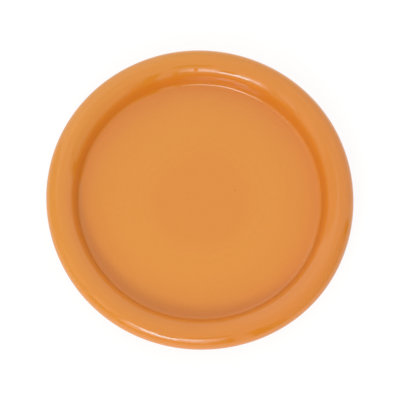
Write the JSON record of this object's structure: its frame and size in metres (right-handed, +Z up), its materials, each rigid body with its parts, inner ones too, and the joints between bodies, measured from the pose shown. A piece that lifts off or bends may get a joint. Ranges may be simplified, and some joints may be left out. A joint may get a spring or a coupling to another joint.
{
  "type": "plant saucer",
  "caption": "Round glazed earthenware saucer with a flat well, a short wall and a rolled rim, on a bare foot ring with felt pads; it catches the water under a plant pot.",
  "frame": {"origin": "on the saucer's axis, on the surface that its felt pads stand on", "axes": "+Z up along the saucer's axis of turning; X and Y lie in the surface, with a pad on each diagonal between them"},
  "size_m": [0.18, 0.18, 0.0237],
  "materials": {
    "glaze": "gloss",
    "clay": "matte",
    "felt": "matte"
  },
  "bodies": {
    "root": {"clay_body": "clay", "glaze_coat": "glaze", "base_glaze": "glaze", "felt_pad_1": "felt", "felt_pad_2": "felt", "felt_pad_3": "felt", "felt_pad_4": "felt"}
  },
  "joints": []
}
